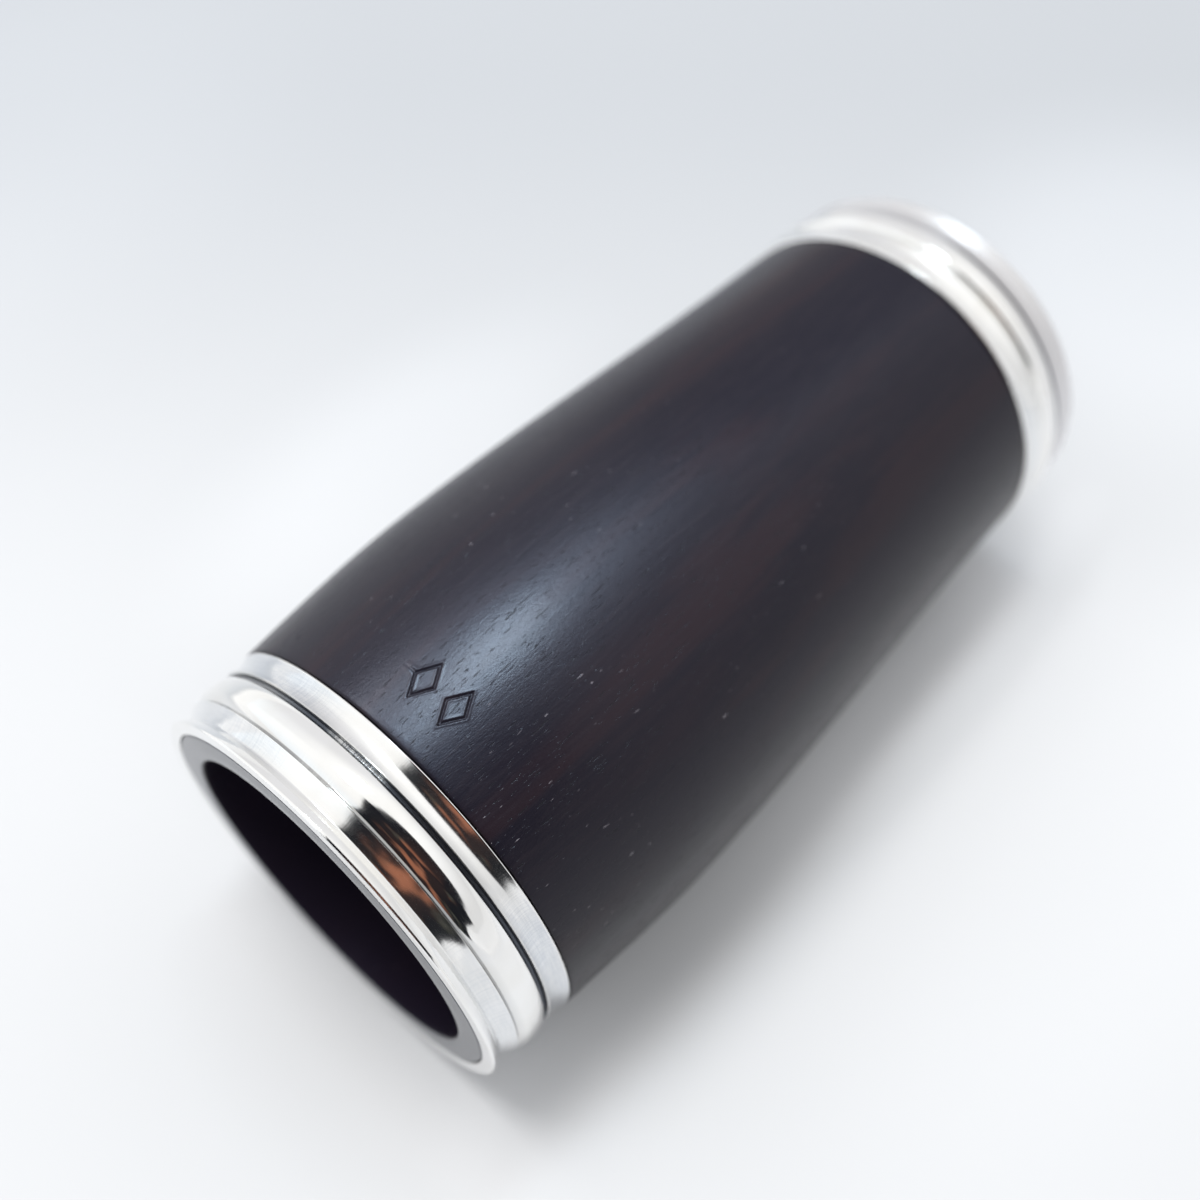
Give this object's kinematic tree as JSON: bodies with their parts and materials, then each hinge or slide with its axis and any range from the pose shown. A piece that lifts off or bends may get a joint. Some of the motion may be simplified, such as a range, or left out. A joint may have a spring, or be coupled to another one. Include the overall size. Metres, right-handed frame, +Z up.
{
  "type": "clarinet barrel",
  "caption": "Turned blackwood clarinet barrel joint: bulged body with a tenon socket in each end and a silver-plated ring pressed onto each end.",
  "frame": {"origin": "on the bore axis, half-way along the barrel's length", "axes": "+X along the bore towards the mouthpiece (upper) end, -X towards the upper-joint (lower) end, +Z up with the barrel lying on its side"},
  "size_m": [0.066, 0.0326, 0.0326],
  "materials": {
    "blackwood": "oiled and polished, with a soft sheen",
    "silver_plate_lower": "silver plate, polished on the bead and lip and finely brushed along the collar and band",
    "silver_plate_upper": "silver plate, polished on the bead and lip and finely brushed along the collar and band"
  },
  "bodies": {
    "root": {"barrel_body": "blackwood", "lower_ring": "silver_plate_lower", "upper_ring": "silver_plate_upper"}
  },
  "joints": []
}
